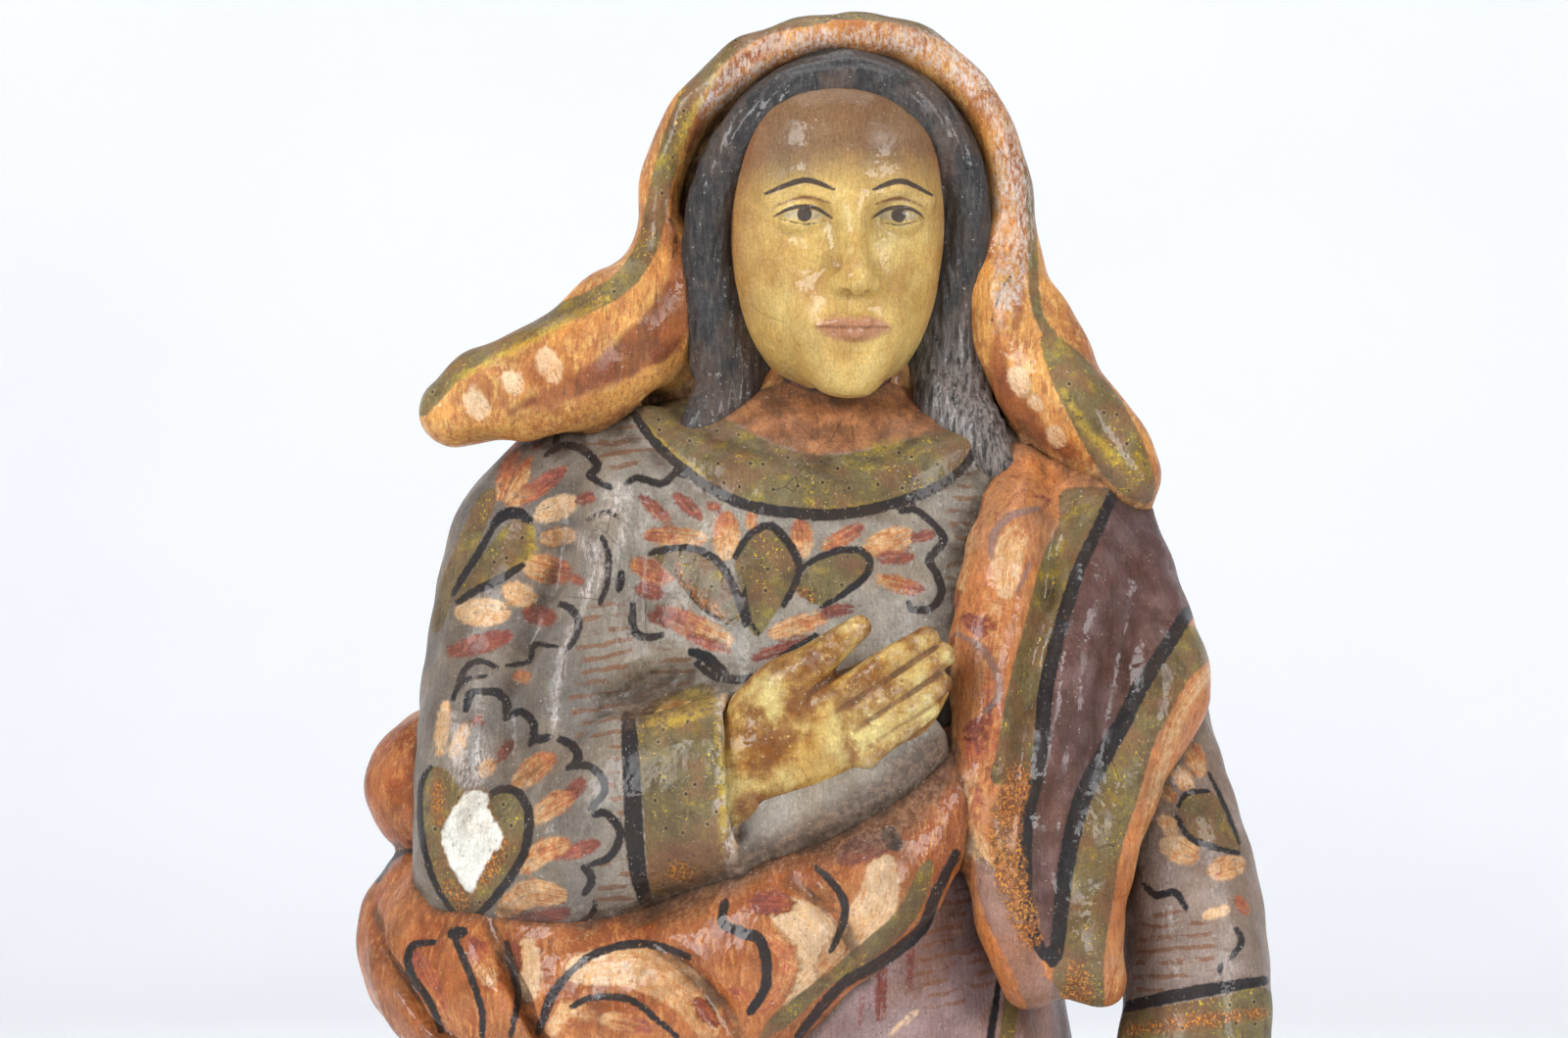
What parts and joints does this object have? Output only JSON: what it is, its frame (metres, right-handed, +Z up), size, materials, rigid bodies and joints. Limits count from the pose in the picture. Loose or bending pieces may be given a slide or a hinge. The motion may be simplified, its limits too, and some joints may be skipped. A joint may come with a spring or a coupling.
{
  "type": "carved wooden statue",
  "caption": "Carved and painted wooden statue of a veiled woman with one hand on her breast, standing on a low oblong base.",
  "frame": {"origin": "middle of the base's underside", "axes": "+Z up, the figure faces -Y, and her right arm is towards -X"},
  "size_m": [0.1595, 0.1076, 0.42],
  "materials": {
    "painted_wood": "gesso and oil paint under an aged satin varnish",
    "base_wood": "worn dark paint"
  },
  "bodies": {
    "root": {"carved_figure": "painted_wood", "low_base": "base_wood"}
  },
  "joints": []
}
